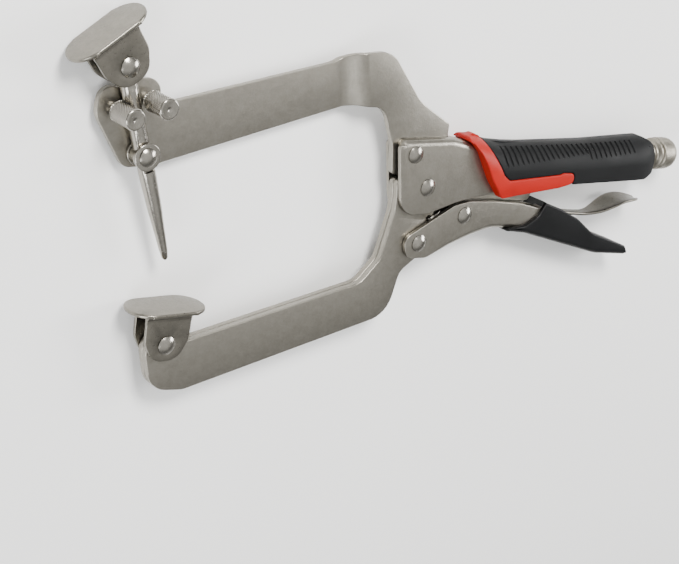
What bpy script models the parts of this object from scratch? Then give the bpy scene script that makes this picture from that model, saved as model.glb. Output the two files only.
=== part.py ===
"""Locking pliers with a pocket-hole pin, lying on one side.

X runs along the handle to the adjusting screw, Y towards the fixed jaw and Z out of the flat side.
The model is drawn around the jaw pivot, and an empty there carries every part to its place.
"""
import math

import bmesh
import bpy
from mathutils import Matrix, Vector

MM = 0.001

# Place of the jaw pivot, so that the model stands on its bounding box's bottom centre
JAW_PIVOT_PLACE = (0.00904, 0.00349, 0.0110)

# Gaps
FIT = 0.0003                    # between pieces that touch
HOLE_PLAY = 0.0003              # between a rivet's shank and its hole

# Linkage pivots, measured from the jaw pivot
JAW_PIVOT = (0.0, 0.0)
FIXED_JAW_RIVET = (-0.0104, 0.0158)
LEVER_JAW_PIVOT = (0.0005, -0.0268)
LEVER_LINK_PIVOT = (0.0258, -0.0147)
ROD_PIVOT = (-0.1478, 0.0184)
LOWER_PAD_PIVOT = (-0.1295, -0.0632)
RELEASE_PIVOT = (0.0784, -0.0178)
SPRING_HOLE = (0.0057, -0.0160)
SPRING_ANCHOR = (0.0500, 0.0114)

# Sheet sections, as half widths across the tool
HANDLE_OUTER = 0.0054
HANDLE_INNER = 0.0035
LEVER_OUTER = 0.0054
LEVER_INNER = 0.0035
JAW_PLATE = 0.0030              # one of the movable jaw's two plates
FIXED_PLATE_HALF = 0.0015
LINK_HALF = 0.0017
GRIP_HALF = 0.0108
REAR_HALF = 0.0074              # handle under the grip, where it widens for the screw

# Fixed arm's joggle: it steps back between two bends that lie square to the arm
ARM_ANGLE = math.radians(12.7)
JOGGLE_START = -0.0292
JOGGLE_END = -0.0390
JOGGLE_DEPTH = 0.0063

# Rivets
HEAD_RADIUS = 0.0041
SHANK_RADIUS = 0.0026
HEAD_HEIGHT = 0.0014

# Adjusting screw
SCREW_AXIS_Y = 0.0098
SCREW_RADIUS = 0.0056

# Swing rod
ROD_LEAN = math.radians(19.7)   # from +Y towards -X
ROD_RADIUS = 0.0035
ROD_MIDDLE = -0.0005            # the rod runs a little behind the centre plane
ROD_PAD_REACH = 0.0390
ROD_TIP_REACH = 0.0480
ROD_FLAT_HALF = 0.0025
WASHER_TOP = 0.0037
ROD_END_FLAT_HALF = 0.0031

# Stop pins, either side of the rod
STOP_PINS = {"left": (-0.1608, 0.0364), "right": (-0.1462, 0.0404)}
PIN_RADIUS = 0.0045
PIN_SHANK_RADIUS = 0.0024
PIN_TOP = 0.0129
PIN_HEAD_BASE = -0.0009

# Swivel pads
PAD_LENGTH = 0.0360
PAD_WIDTH = 0.0210
PAD_TOP = 0.0162                # pad face above its rivet
PAD_SHEET = 0.0018
EAR_INNER = 0.0036
EAR_OUTER = 0.0052
UPPER_PAD_ANGLE = math.radians(37.0)
LOWER_PAD_ANGLE = math.radians(0.0)


def clear_scene():
    for thing in list(bpy.data.objects):
        bpy.data.objects.remove(thing, do_unlink=True)


def new_collection(name):
    collection = bpy.data.collections.new(name)
    bpy.context.scene.collection.children.link(collection)
    return collection


clear_scene()
PARTS = new_collection("locking_pliers")
CUTTERS = new_collection("cutters")
ROOT = bpy.data.objects.new("jaw_pivot_place", None)
ROOT.location = JAW_PIVOT_PLACE
PARTS.objects.link(ROOT)


def material(name, colour, roughness, metallic):
    made = bpy.data.materials.new(name)
    made.use_nodes = True
    shader = made.node_tree.nodes["Principled BSDF"]
    shader.inputs["Base Color"].default_value = (*colour, 1.0)
    shader.inputs["Roughness"].default_value = roughness
    shader.inputs["Metallic"].default_value = metallic
    return made


SATIN_STEEL = material("satin_nickel_steel", (0.55, 0.52, 0.46), 0.38, 1.0)
BRIGHT_STEEL = material("bright_nickel_steel", (0.66, 0.64, 0.60), 0.22, 1.0)
SPRING_STEEL = material("spring_steel", (0.40, 0.39, 0.37), 0.30, 1.0)
BLACK_RUBBER = material("black_rubber", (0.020, 0.021, 0.022), 0.60, 0.0)
RED_RUBBER = material("red_rubber", (0.70, 0.050, 0.030), 0.48, 0.0)
BLACK_VINYL = material("black_vinyl", (0.018, 0.018, 0.019), 0.45, 0.0)


# Outlines -------------------------------------------------------------------------------------

def mm(*points):
    """Corner list in millimetres, as x, y and an optional corner radius, in metres."""
    return [(x * MM, y * MM, (rest[0] if rest else 0.0) * MM) for x, y, *rest in points]


def fillet(corners, step=math.radians(12)):
    """Closed outline with each corner rounded to its radius."""
    outline = []
    count = len(corners)
    for i, (x, y, radius) in enumerate(corners):
        here = Vector((x, y))
        before = Vector(corners[i - 1][:2]) - here
        after = Vector(corners[(i + 1) % count][:2]) - here
        if radius <= 0.0:
            outline.append(here)
            continue
        turn = before.angle(after)
        reach = min(radius / math.tan(turn / 2), 0.49 * before.length, 0.49 * after.length)
        radius = reach * math.tan(turn / 2)
        centre = here + (before.normalized() + after.normalized()).normalized() * (radius / math.sin(turn / 2))
        start = here + before.normalized() * reach - centre
        sweep = math.pi - turn
        side = 1.0 if before.cross(after) < 0.0 else -1.0
        steps = max(2, round(sweep / step))
        for k in range(steps + 1):
            angle = side * sweep * k / steps
            outline.append(centre + Matrix.Rotation(angle, 2) @ start)
    return outline


def circle(centre, radius, count=24):
    return [Vector((centre[0] + radius * math.cos(2 * math.pi * k / count),
                    centre[1] + radius * math.sin(2 * math.pi * k / count))) for k in range(count)]


# Solids ---------------------------------------------------------------------------------------

def add_object(name, mesh, look, collection=PARTS, parent=ROOT):
    thing = bpy.data.objects.new(name, mesh)
    thing.parent = parent
    collection.objects.link(thing)
    if look:
        mesh.materials.append(look)
    return thing


def plate(name, outline, low, high, look=None, holes=(), collection=PARTS):
    """Flat plate between two heights, from an outline and round holes (centre, radius)."""
    curve = bpy.data.curves.new(name, "CURVE")
    curve.dimensions = "2D"
    curve.fill_mode = "BOTH"
    curve.extrude = (high - low) / 2
    for ring in [outline] + [circle(centre, radius) for centre, radius in holes]:
        spline = curve.splines.new("POLY")
        spline.points.add(len(ring) - 1)
        for point, place in zip(spline.points, ring):
            point.co = (place[0], place[1], 0.0, 1.0)
        spline.use_cyclic_u = True
    source = bpy.data.objects.new(name + "_curve", curve)
    CUTTERS.objects.link(source)
    bpy.context.view_layer.update()
    mesh = bpy.data.meshes.new_from_object(source.evaluated_get(bpy.context.evaluated_depsgraph_get()))
    bpy.data.objects.remove(source, do_unlink=True)
    shape = bmesh.new()
    shape.from_mesh(mesh)
    bmesh.ops.remove_doubles(shape, verts=shape.verts, dist=1e-6)
    bmesh.ops.translate(shape, verts=shape.verts, vec=(0.0, 0.0, (low + high) / 2))
    bmesh.ops.recalc_face_normals(shape, faces=shape.faces)
    shape.to_mesh(mesh)
    shape.free()
    mesh.name = name
    return add_object(name, mesh, look, collection)


def turned(name, profile, look=None, steps=24, collection=PARTS, parent=ROOT):
    """Solid turned about its Z axis, from (radius, height) points that run top to bottom."""
    mesh = bpy.data.meshes.new(name)
    shape = bmesh.new()
    points = [shape.verts.new((radius, 0.0, height)) for radius, height in profile]
    for upper, lower in zip(points, points[1:]):
        shape.edges.new((upper, lower))
    shape.to_mesh(mesh)
    shape.free()
    thing = add_object(name, mesh, look, collection, parent)
    screw = thing.modifiers.new("turn", "SCREW")
    screw.steps = steps
    screw.render_steps = steps
    screw.use_merge_vertices = True
    screw.merge_threshold = 0.00001
    return thing


def box(name, low, high, collection=PARTS, look=None, parent=ROOT):
    mesh = bpy.data.meshes.new(name)
    shape = bmesh.new()
    bmesh.ops.create_cube(shape, size=1.0)
    size = [b - a for a, b in zip(low, high)]
    middle = [(a + b) / 2 for a, b in zip(low, high)]
    bmesh.ops.scale(shape, verts=shape.verts, vec=size)
    bmesh.ops.translate(shape, verts=shape.verts, vec=middle)
    shape.to_mesh(mesh)
    shape.free()
    return add_object(name, mesh, look, collection, parent)


def combine(thing, other, operation):
    """Joins or cuts with another object, which becomes a hidden cutter."""
    if other.name not in CUTTERS.objects:
        for owner in list(other.users_collection):
            owner.objects.unlink(other)
        CUTTERS.objects.link(other)
    other.hide_render = True
    other.display_type = "WIRE"
    change = thing.modifiers.new(operation.lower(), "BOOLEAN")
    change.operation = operation
    change.solver = "EXACT"
    change.object = other


def ramp(value, low, high):
    """0 below low, 1 above high and a straight line between."""
    return min(max((value - low) / (high - low), 0.0), 1.0)


def rounded_plate(name, outline, half, radius, weight, look):
    """Plate about Z = 0 whose rims are rounded where weight(place, outward direction) says."""
    count = len(outline)
    outward = []
    for i in range(count):
        run = outline[(i + 1) % count] - outline[i - 1]
        outward.append(Vector((run.y, -run.x)).normalized())
    area = sum(outline[i - 1].cross(outline[i]) for i in range(count))
    side = 1.0 if area > 0.0 else -1.0
    shape = bmesh.new()
    levels = [(radius * (1 - math.cos(a)), half - radius * (1 - math.sin(a))) for a in (0.0, 0.5, 1.0, math.pi / 2)]
    rings = []
    for inset, height in [(i, -h) for i, h in reversed(levels)] + levels:
        ring = []
        for point, out in zip(outline, outward):
            moved = point - out * (side * inset * weight(point, out * side))
            ring.append(shape.verts.new((moved.x, moved.y, height)))
        rings.append(ring)
    for lower, upper in zip(rings, rings[1:]):
        for i in range(count):
            shape.faces.new((lower[i - 1], lower[i], upper[i], upper[i - 1]))
    shape.faces.new(rings[0])
    shape.faces.new(rings[-1])
    bmesh.ops.triangulate(shape, faces=shape.faces)
    bmesh.ops.recalc_face_normals(shape, faces=shape.faces)
    mesh = bpy.data.meshes.new(name)
    shape.to_mesh(mesh)
    shape.free()
    return add_object(name, mesh, look)


def rivet(name, pivot, low, high, shank=SHANK_RADIUS, head=HEAD_RADIUS):
    """Domed rivet whose heads sit outside two faces at the heights low and high."""
    top, bottom = high + FIT, low - FIT
    dome = [(head * math.sin(a), HEAD_HEIGHT * math.cos(a)) for a in (0.0, 0.5, 1.0, 1.35)]
    upper = [(radius, top + rise) for radius, rise in dome] + [(head, top)]
    lower = [(head, bottom)] + [(radius, bottom - rise) for radius, rise in reversed(dome)]
    made = turned(name, upper + [(shank, top), (shank, bottom)] + lower, BRIGHT_STEEL)
    made.location = (*pivot, 0.0)
    return made


# Upper handle ---------------------------------------------------------------------------------

HANDLE_REAR = 142.0
HANDLE_OUTLINE = mm((-20.8, 22.5, 4.0), (-13.1, -12.9, 14), (3.0, -12.7, 8), (18.0, -8.4, 10), (27.6, -6.4, 12),
                    (42, -4.3, 10), (90, 0.4, 10), (HANDLE_REAR, 1.8, 1), (HANDLE_REAR, 16.8, 2), (60, 16.2, 20),
                    (34, 17.6, 20), (12, 22.5, 14))


def flare(thing):
    """Widens a piece along Z where the handle widens under the grip."""
    start, end = 0.045, 0.070
    shape = bmesh.new()
    shape.from_mesh(thing.data)
    for place in (start, end):
        everything = shape.verts[:] + shape.edges[:] + shape.faces[:]
        bmesh.ops.bisect_plane(shape, geom=everything, plane_co=(place, 0, 0), plane_no=(1, 0, 0), dist=1e-7)
    for vertex in shape.verts:
        vertex.co.z *= 1 + (REAR_HALF / HANDLE_OUTER - 1) * ramp(vertex.co.x, start, end)
    bmesh.ops.triangulate(shape, faces=shape.faces)
    shape.to_mesh(thing.data)
    shape.free()
    return thing


def make_upper_handle():
    handle = flare(rounded_plate("upper_handle_channel", fillet(HANDLE_OUTLINE), HANDLE_OUTER, 0.0034,
                                 lambda place, out: ramp(out.y, 0.3, 0.8), SATIN_STEEL))
    inside = mm((-30, 20.3), (-30, -20), (170, -20), (170, 6), (HANDLE_REAR - 18, 6), (HANDLE_REAR - 18, 14.6),
                (60, 14.2, 20), (34, 15.6, 20), (12, 20.3, 14))
    cavity = flare(plate("handle_cavity", fillet(inside), -HANDLE_INNER, HANDLE_INNER, collection=CUTTERS))
    combine(handle, cavity, "DIFFERENCE")
    slot_half = FIXED_PLATE_HALF + FIT
    combine(handle, box("fixed_jaw_slot", (-0.030, 0.015, -slot_half), (0.0106, 0.030, slot_half), CUTTERS),
            "DIFFERENCE")
    tube = turned("screw_tube", [(0.0, 0.0), (0.0073, 0.0), (0.0073, -0.019), (0.0, -0.019)], collection=CUTTERS)
    thread = turned("screw_bore", [(0.0, 0.002), (SCREW_RADIUS + FIT, 0.002), (SCREW_RADIUS + FIT, -0.030),
                                   (0.0, -0.030)], collection=CUTTERS)
    for round_piece in (tube, thread):
        round_piece.location = (HANDLE_REAR * MM, SCREW_AXIS_Y, 0.0)
        round_piece.rotation_euler = (0.0, math.pi / 2, 0.0)
    combine(handle, tube, "UNION")
    combine(handle, thread, "DIFFERENCE")
    holes = [(JAW_PIVOT, SHANK_RADIUS), (FIXED_JAW_RIVET, SHANK_RADIUS), (SPRING_ANCHOR, 0.0015)]
    for k, (place, radius) in enumerate(holes):
        drill = turned(f"handle_drill_{k}", [(0.0, 0.012), (radius + HOLE_PLAY, 0.012),
                                             (radius + HOLE_PLAY, -0.012), (0.0, -0.012)], collection=CUTTERS)
        drill.location = (*place, 0.0)
        combine(handle, drill, "DIFFERENCE")
    anchor = turned("spring_anchor_pin", [(0.0, 0.0058), (0.0014, 0.0058), (0.0014, -0.0058), (0.0, -0.0058)],
                    SPRING_STEEL, steps=12)
    anchor.location = (*SPRING_ANCHOR, 0.0)


RED_OUTLINE = mm((20.6, 20.9, 0.8), (20.6, 22.9, 1.2), (25.4, 24.0, 2), (29.0, 22.8, 3), (34.2, 15.8, 10),
                 (41.8, 5.4, 4), (45.8, 2.7, 3), (78.5, 4.3, 4), (80.6, 5.1, 2), (88.3, 4.8, 2.6), (88.3, -0.4, 2.6),
                 (79.5, -2.4, 8), (51.0, -5.4, 3), (43.6, -6.4, 3), (40.6, -3.2, 8), (35.4, 2.6, 20),
                 (26.6, 15.8, 10), (22.4, 20.4, 1))
BLACK_OUTLINE = mm((30.25, 21.7, 0.6), (36.0, 20.4, 6), (46, 19.5, 20), (60, 18.9, 20), (100, 19.0, 30),
                   (138.0, 20.4, 8), (144.8, 17.6, 4), (147.2, 11.0, 6), (147.0, 2.2, 3), (140.2, -0.6, 2),
                   (88.65, -0.9, 0.5), (88.65, 5.14, 2.95), (80.54, 5.45, 2.3), (78.43, 4.65, 3.7),
                   (45.9, 3.06, 2.7), (42.05, 5.66, 3.7), (34.48, 16.01, 10))


def grip_crown(x):
    """Height of the grip's top over the pivot."""
    return 0.0190 + 0.0014 * ramp(x, 0.100, 0.138) + 0.0050 * ramp(-x, -0.042, -0.020)


def rounded_grip(name, outline, half, look):
    """Grip whose width follows a rounded section: full on the sides and narrow over the crown."""
    grip = plate(name, fillet(outline), -half, half, look)
    shape = bmesh.new()
    shape.from_mesh(grip.data)
    cuts = [((0, y * MM, 0), (0, 1, 0)) for y in (0.5, 6, 8, 10, 12, 14, 15.5, 17, 18, 19, 20, 21, 22)]
    cuts += [((x * MM, 0, 0), (1, 0, 0)) for x in (24, 30, 36, 42, 60, 100, 120, 132, 136, 140, 143, 145.5)]
    for place, normal in cuts:
        everything = shape.verts[:] + shape.edges[:] + shape.faces[:]
        bmesh.ops.bisect_plane(shape, geom=everything, plane_co=place, plane_no=normal, dist=1e-7)
    for vertex in shape.verts:
        x, y = vertex.co.x, vertex.co.y
        rise = 0.985 * ramp(y, grip_crown(x) - 0.013, grip_crown(x))
        width = math.sqrt(1 - rise ** 1.7) * (1 - 0.30 * ramp(x, 0.130, 0.148) ** 2.5)
        width *= 1 - 0.10 * ramp(-y, -0.0005, 0.005)
        vertex.co.z *= width
    bmesh.ops.triangulate(shape, faces=shape.faces)
    shape.to_mesh(grip.data)
    shape.free()
    return grip


def make_grips():
    hollow = mm((-30, 17.0), (-30, -20), (142.3, -20), (142.3, 17.5, 2), (60, 16.6, 20), (34, 18.0, 20),
                (12.4, 22.9, 14), (0, 23.0))
    for name, outline, half, look in (("handle_grip_black", BLACK_OUTLINE, GRIP_HALF, BLACK_RUBBER),
                                      ("handle_grip_red", RED_OUTLINE, GRIP_HALF - 0.0003, RED_RUBBER)):
        grip = rounded_grip(name, outline, half, look)
        space = flare(rounded_plate(name + "_hollow", fillet(hollow), HANDLE_OUTER + FIT, 0.0034,
                                    lambda place, out: ramp(out.y, 0.3, 0.8), None))
        combine(grip, space, "DIFFERENCE")
    rear = turned("grip_rear_bore", [(0.0, 0.010), (0.0059, 0.010), (0.0059, FIT), (0.0076, FIT), (0.0076, -0.0195),
                                     (0.0, -0.0195)], collection=CUTTERS)
    rear.location = (HANDLE_REAR * MM, SCREW_AXIS_Y, 0.0)
    rear.rotation_euler = (0.0, math.pi / 2, 0.0)
    combine(bpy.data.objects["handle_grip_black"], rear, "DIFFERENCE")


def make_adjusting_screw():
    length = [(0.0, 167.0), (3.4, 166.8), (6.0, 165.8), (7.6, 163.9), (8.2, 161.4), (8.3, 159.0), (8.3, 155.2),
              (6.7, 154.8), (6.7, 154.0), (8.1, 153.6), (8.1, 152.8), (6.2, 152.2), (5.3, 151.6), (5.3, 150.8),
              (5.6, 150.2), (5.6, 126.4), (4.1, 125.0), (4.1, 82.4), (3.0, 79.4), (0.0, 78.2)]
    profile = [(radius * MM, (along - HANDLE_REAR) * MM) for radius, along in length]
    screw = turned("adjusting_screw", profile, BRIGHT_STEEL)
    screw.location = (HANDLE_REAR * MM, SCREW_AXIS_Y, 0.0)
    screw.rotation_euler = (0.0, math.pi / 2, 0.0)


# Fixed jaw and its rod ------------------------------------------------------------------------

ROD_UP = Vector((-math.sin(ROD_LEAN), math.cos(ROD_LEAN)))
UPPER_PAD_PIVOT = tuple(Vector(ROD_PIVOT) + ROD_UP * ROD_PAD_REACH)
ARM_FACE = FIXED_PLATE_HALF - JOGGLE_DEPTH

FIXED_JAW_OUTLINE = mm((-167.6, 45.6, 8.0), (-155.0, 44.8, 2.5), (-154.6, 48.6, 5), (-140.6, 48.2, 8),
                       (-139.7, 37.6, 2), (-56.4, 55.0, 12), (-46.6, 60.2, 14), (-29.6, 61.6, 13), (-8.8, 38.6, 26),
                       (10.2, 28.4, 2), (10.2, 21.0, 0.8), (10.4, 18.6, 1), (10.4, 10.8, 2), (5.2, 10.2, 3),
                       (-1.4, 11.2, 9), (-7.9, 10.2, 3), (-14.6, 5.6, 2), (-19.2, 6.0, 2), (-21.8, 20.0, 20),
                       (-29.4, 36.6, 9), (-43.4, 37.0, 8), (-141.2, 12.2, 7), (-153.9, 12.0, 6), (-168.6, 34.0, 9))


def make_fixed_jaw():
    pin_holes = [(place, PIN_SHANK_RADIUS + HOLE_PLAY) for place in STOP_PINS.values()]
    holes = [(FIXED_JAW_RIVET, SHANK_RADIUS + HOLE_PLAY), (ROD_PIVOT, SHANK_RADIUS + HOLE_PLAY)] + pin_holes
    jaw = plate("fixed_jaw_arm", fillet(FIXED_JAW_OUTLINE), -FIXED_PLATE_HALF, FIXED_PLATE_HALF, SATIN_STEEL, holes)
    along = Vector((math.cos(ARM_ANGLE), math.sin(ARM_ANGLE), 0.0))
    shape = bmesh.new()
    shape.from_mesh(jaw.data)
    for bend in (JOGGLE_START, JOGGLE_END):
        everything = shape.verts[:] + shape.edges[:] + shape.faces[:]
        bmesh.ops.bisect_plane(shape, geom=everything, plane_co=along * bend, plane_no=along, dist=1e-7)
    for vertex in shape.verts:
        share = (JOGGLE_START - vertex.co.dot(along)) / (JOGGLE_START - JOGGLE_END)
        vertex.co.z -= JOGGLE_DEPTH * min(max(share, 0.0), 1.0)
    shape.to_mesh(jaw.data)
    shape.free()


def make_stop_pins():
    """Pins with a thick knurled head and a thinner shank that reaches through the arm."""
    for side, place in STOP_PINS.items():
        profile = [(0.0, PIN_TOP), (PIN_RADIUS - 0.0004, PIN_TOP), (PIN_RADIUS, PIN_TOP - 0.0005),
                   (PIN_RADIUS, PIN_HEAD_BASE + 0.0004), (PIN_RADIUS - 0.0004, PIN_HEAD_BASE),
                   (PIN_SHANK_RADIUS, PIN_HEAD_BASE), (PIN_SHANK_RADIUS, ARM_FACE - 2 * FIXED_PLATE_HALF),
                   (0.0, ARM_FACE - 2 * FIXED_PLATE_HALF)]
        pin = turned("stop_pin_" + side, profile, BRIGHT_STEEL)
        pin.location = (*place, 0.0)


def make_swing_rod():
    """Round rod with a pointed end, flats at its pivot and at its pad, and an eye around the pivot."""
    carrier = bpy.data.objects.new("rod_pivot_axis", None)
    carrier.parent = ROOT
    carrier.location = (*ROD_PIVOT, ROD_MIDDLE)
    carrier.rotation_euler = (-math.pi / 2, 0.0, ROD_LEAN)
    PARTS.objects.link(carrier)
    top = ROD_PAD_REACH + 0.0042
    tip = -ROD_TIP_REACH
    profile = [(0.0, top), (0.0026, top), (ROD_RADIUS, top - 0.001), (ROD_RADIUS, -0.010), (0.0030, -0.024),
               (0.0018, tip + 0.005), (0.0013, tip + 0.001), (0.0007, tip), (0.0, tip)]
    rod = turned("swing_rod", profile, BRIGHT_STEEL, parent=carrier)
    eye = turned("rod_eye", [(0.0, ROD_FLAT_HALF), (0.0048, ROD_FLAT_HALF), (0.0048, -ROD_FLAT_HALF),
                             (0.0, -ROD_FLAT_HALF)], collection=CUTTERS, parent=carrier)
    eye.rotation_euler = (math.pi / 2, 0.0, 0.0)
    for side in (-1, 1):
        near = sorted((side * ROD_FLAT_HALF, side * 0.006))
        flat = box(f"rod_flat_{side}", (-0.006, near[0], -0.0066), (0.006, near[1], 0.0066), CUTTERS, None, carrier)
        combine(rod, flat, "DIFFERENCE")
        near = sorted((side * ROD_END_FLAT_HALF, side * 0.006))
        flat = box(f"rod_end_flat_{side}", (-0.006, near[0], 0.0290), (0.006, near[1], 0.050), CUTTERS, None,
                   carrier)
        combine(rod, flat, "DIFFERENCE")
    combine(rod, eye, "UNION")
    notch = turned("rod_notch", [(0.0, 0.008), (PIN_RADIUS + FIT, 0.008), (PIN_RADIUS + FIT, PIN_HEAD_BASE - FIT),
                                 (0.0, PIN_HEAD_BASE - FIT)], collection=CUTTERS)
    notch.location = (*STOP_PINS["left"], 0.0)
    combine(rod, notch, "DIFFERENCE")
    for k, height in enumerate((0.0, ROD_PAD_REACH)):
        drill = turned(f"rod_drill_{k}", [(0.0, 0.008), (0.0022, 0.008), (0.0022, -0.008), (0.0, -0.008)],
                       collection=CUTTERS, parent=carrier)
        drill.location = (0.0, 0.0, height)
        drill.rotation_euler = (math.pi / 2, 0.0, 0.0)
        combine(rod, drill, "DIFFERENCE")


def make_rod_washers():
    for name, radius, low, high in (("rod_front_washer", 0.0058, ROD_MIDDLE + ROD_FLAT_HALF + FIT, WASHER_TOP),
                                    ("rod_back_washer", 0.0055, ARM_FACE + FIT, ROD_MIDDLE - ROD_FLAT_HALF - FIT)):
        plate(name, [Vector(p) for p in circle(ROD_PIVOT, radius, 32)], low, high, BRIGHT_STEEL,
              [(ROD_PIVOT, 0.0022)])


def make_pad(name, pivot, angle, middle=0.0):
    """Swivel pad: an oval face, folded under at both sides into two round ears."""
    carrier = bpy.data.objects.new(name + "_axis", None)
    carrier.parent = ROOT
    carrier.location = (*pivot, middle)
    carrier.rotation_euler = (0.0, 0.0, angle)
    PARTS.objects.link(carrier)
    half_length, half_width = PAD_LENGTH / 2, PAD_WIDTH / 2
    corner = half_width * 0.96
    oval = fillet([(-half_length, -half_width, corner), (half_length, -half_width, corner),
                   (half_length, half_width, corner), (-half_length, half_width, corner)])
    pad = plate(name, oval, PAD_TOP - PAD_SHEET, PAD_TOP, SATIN_STEEL)
    pad.parent = carrier
    pad.rotation_euler = (-math.pi / 2, 0.0, 0.0)
    pad.data.transform(Matrix.Rotation(math.pi, 4, "Z"))
    ear_outline = fillet(mm((-11.0, 14.2), (-10.6, 2.0, 9), (-6.0, -7.0, 8), (6.0, -7.0, 8), (10.6, 2.0, 9),
                            (11.0, 14.2)))
    for side in (-1, 1):
        low, high = sorted((side * EAR_INNER, side * EAR_OUTER))
        ear = plate(f"{name}_ear_{side}", ear_outline, low, high, None, [((0.0, 0.0), 0.0022)], CUTTERS)
        low, high = sorted((side * (EAR_INNER + 0.0002), side * (half_width - 0.0001)))
        fold = box(f"{name}_fold_{side}", (-0.0113, 0.0110, low), (0.0113, 0.0145, high), CUTTERS)
        for piece in (ear, fold):
            piece.parent = carrier
            combine(pad, piece, "UNION")


# Movable jaw and lever ------------------------------------------------------------------------

MOVABLE_JAW_OUTLINE = mm((-17.0, 3.4, 3), (-9.0, 4.6, 4), (-6.0, 8.4, 6), (5.6, 8.4, 6), (8.4, 0.0, 6),
                         (8.6, -22.0, 6), (8.4, -32.9, 7), (1.4, -35.4, 4), (-6.2, -41.0, 8), (-9.8, -61.6, 14),
                         (-117.4, -86.0, 10), (-133.6, -84.3, 14), (-138.6, -65.4, 8), (-133.6, -56.6, 5),
                         (-124.8, -56.4, 4), (-119.4, -63.4, 3), (-28.6, -44.6, 9), (-19.2, -34.0, 7),
                         (-15.3, -12.0, 20), (-15.6, -4.0, 6))


def make_movable_jaw():
    holes = [(JAW_PIVOT, SHANK_RADIUS + HOLE_PLAY), (LEVER_JAW_PIVOT, SHANK_RADIUS + HOLE_PLAY),
             (LOWER_PAD_PIVOT, SHANK_RADIUS + HOLE_PLAY), (SPRING_HOLE, 0.0016)]
    gap = FIT / 2
    for name, low, high in (("movable_jaw_front_plate", gap, gap + JAW_PLATE),
                            ("movable_jaw_back_plate", -gap - JAW_PLATE, -gap)):
        plate(name, fillet(MOVABLE_JAW_OUTLINE), low, high, SATIN_STEEL, holes)


LEVER_OUTLINE = mm((-8.6, -24.2, 5), (19.0, -9.6, 8), (27.8, -8.1, 12), (43.4, -8.9, 20), (62.4, -11.1, 20),
                   (83.4, -16.3, 12), (111.4, -30.8, 15), (139.0, -39.2, 1), (139.0, -41.0, 1), (117.4, -38.2, 30),
                   (61.0, -23.6, 30), (44.0, -22.6, 20), (32.0, -25.6, 15), (19.6, -29.8, 10), (5.6, -34.4, 8),
                   (-6.0, -33.9, 6))


def make_lower_lever():
    lever = rounded_plate("lower_lever_channel", fillet(LEVER_OUTLINE), LEVER_OUTER, 0.0026,
                          lambda place, out: ramp(-out.y, 0.3, 0.8) * ramp(place.x, 0.010, 0.018)
                          * ramp(-place.x, -0.130, -0.100), SATIN_STEEL)
    inside = mm((-30, 0), (160, 0), (160, -40.2), (139.5, -40.2), (139.5, -39.4), (117.4, -36.4, 30),
                (61.0, -21.8, 30), (44.0, -20.8, 20), (32.4, -23.8, 15), (20.2, -28.0, 8), (11.8, -31.0),
                (11.8, -50), (-30, -50))
    combine(lever, plate("lever_cavity", fillet(inside), -LEVER_INNER, LEVER_INNER, collection=CUTTERS),
            "DIFFERENCE")
    holes = [(LEVER_JAW_PIVOT, SHANK_RADIUS), (LEVER_LINK_PIVOT, SHANK_RADIUS), (RELEASE_PIVOT, 0.0016)]
    for k, (place, radius) in enumerate(holes):
        drill = turned(f"lever_drill_{k}", [(0.0, 0.012), (radius + HOLE_PLAY, 0.012),
                                            (radius + HOLE_PLAY, -0.012), (0.0, -0.012)], collection=CUTTERS)
        drill.location = (*place, 0.0)
        combine(lever, drill, "DIFFERENCE")
    pin = turned("release_lever_pin", [(0.0, LEVER_OUTER), (0.0016, LEVER_OUTER), (0.0016, -LEVER_OUTER),
                                       (0.0, -LEVER_OUTER)], SPRING_STEEL, steps=12)
    pin.location = (*RELEASE_PIVOT, 0.0)


COVER_OUTLINE = mm((76.6, -10.8, 1), (87.2, -14.3, 12), (100.8, -20.2, 12), (113.2, -28.4, 15), (139.6, -37.0, 3),
                   (143.2, -42.2, 3), (118.6, -39.8, 30), (66.4, -25.8, 20), (54.0, -24.2, 0.6), (54.6, -22.6, 0.6),
                   (65.6, -21.6, 6), (72.6, -17.6, 6))


def make_lever_cover():
    cover = rounded_plate("lever_cover", fillet(COVER_OUTLINE), 0.0074, 0.0022,
                          lambda place, out: ramp(-out.y, 0.3, 0.8) * ramp(place.x, 0.062, 0.070), BLACK_VINYL)
    grow = 0.3
    around = mm((40, 10), (109, 10), (111.4, -30.8 + grow, 15), (139.0 + grow, -39.2 + grow, 1),
                (139.0 + grow, -41.0 - grow, 1), (117.4, -38.2 - grow, 30), (61.0, -23.6 - grow, 30),
                (44.0, -22.6 - grow, 20), (40, -22.9))
    half = LEVER_OUTER + FIT
    combine(cover, plate("cover_hollow", fillet(around), -half, half, collection=CUTTERS), "DIFFERENCE")


LINK_OUTLINE = mm((21.0, -10.2, 5), (21.0, -20.4, 6), (30.9, -19.8, 6), (41.4, -11.4, 10), (57.4, -10.6, 10),
                  (68.4, -10.7, 2), (70.4, -6.6, 3), (76.4, 6.4, 5), (73.0, 14.2, 5), (65.0, 10.0, 6))


def make_toggle_link():
    plate("toggle_link", fillet(LINK_OUTLINE), -LINK_HALF, LINK_HALF, SATIN_STEEL,
          [(LEVER_LINK_PIVOT, SHANK_RADIUS + HOLE_PLAY)])


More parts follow.
